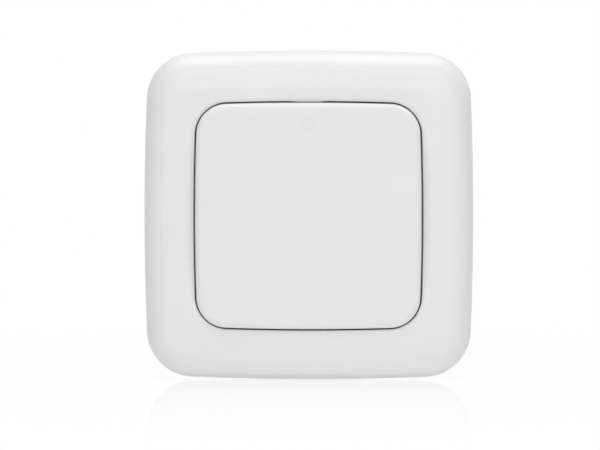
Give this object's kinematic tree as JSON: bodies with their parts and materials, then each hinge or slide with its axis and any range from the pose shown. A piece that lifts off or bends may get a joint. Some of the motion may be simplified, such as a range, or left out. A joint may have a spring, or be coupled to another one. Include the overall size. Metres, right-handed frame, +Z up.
{
  "type": "wireless remote wall switch",
  "caption": "Square white remote wall switch with softly bowed sides and a large tilting rocker that works the push switches of a battery transmitter.",
  "frame": {"origin": "centre of the wall plate's back face, on the wall", "axes": "+Y into the wall, so that the front faces -Y; +Z up; +X to the right as seen from the front"},
  "size_m": [0.08, 0.015, 0.08],
  "materials": {
    "plate_plastic": "fine moulded grain, white",
    "frame_plastic": "smooth semi-gloss white",
    "module_plastic": "fine moulded grain, white",
    "rocker_plastic": "smooth semi-gloss white",
    "board_laminate": "green solder mask",
    "cell_steel": "brushed",
    "contact_strip": "nickel-plated strip",
    "chip_black": "moulded black",
    "resonator_metal": "plated lid",
    "capacitor_tan": "ceramic",
    "led_lens": "clear resin",
    "antenna_copper": "bare copper strip",
    "switch_black": "moulded black",
    "switch_steel": "stamped steel",
    "plunger_plastic": "moulded",
    "dome_rubber": "soft"
  },
  "bodies": {
    "base": {"wall_plate": "plate_plastic", "cover_frame": "frame_plastic", "module_tray": "module_plastic", "rocker_carrier": "module_plastic", "circuit_board": "board_laminate", "coin_cell": "cell_steel", "cell_negative_contact": "contact_strip", "cell_positive_contact": "contact_strip", "encoder_chip": "chip_black", "radio_resonator": "resonator_metal", "radio_transistor": "chip_black", "chip_resistors": "chip_black", "chip_capacitors": "capacitor_tan", "indicator_led": "led_lens", "loop_antenna": "antenna_copper", "upper_switch_base": "switch_black", "upper_switch_cover": "switch_steel", "upper_switch_dome": "dome_rubber", "upper_switch_terminals": "contact_strip", "lower_switch_base": "switch_black", "lower_switch_cover": "switch_steel", "lower_switch_dome": "dome_rubber", "lower_switch_terminals": "contact_strip"},
    "rocker": {"rocker": "rocker_plastic"},
    "upper_plunger": {"upper_switch_plunger": "plunger_plastic"},
    "lower_plunger": {"lower_switch_plunger": "plunger_plastic"}
  },
  "joints": [
    {"name": "rocker_tilt", "type": "hinge", "parent": "base", "child": "rocker", "pos_m": [0, -0.0106, 0], "axis": [1, 0, 0], "range_deg": [-2, 2], "stiffness_Nm_per_rad": 0.9},
    {"name": "upper_plunger_slide", "type": "slide", "parent": "base", "child": "upper_plunger", "axis": [0, 1, 0], "range_m": [-0.00043, 0.00043], "deforming": ["upper_switch_dome"]},
    {"name": "lower_plunger_slide", "type": "slide", "parent": "base", "child": "lower_plunger", "axis": [0, 1, 0], "range_m": [-0.00043, 0.00043], "deforming": ["lower_switch_dome"]}
  ],
  "couplings": [
    {"joint": "upper_plunger_slide", "follows": "rocker_tilt", "m_per_rad": -0.012},
    {"joint": "lower_plunger_slide", "follows": "rocker_tilt", "m_per_rad": 0.012}
  ]
}
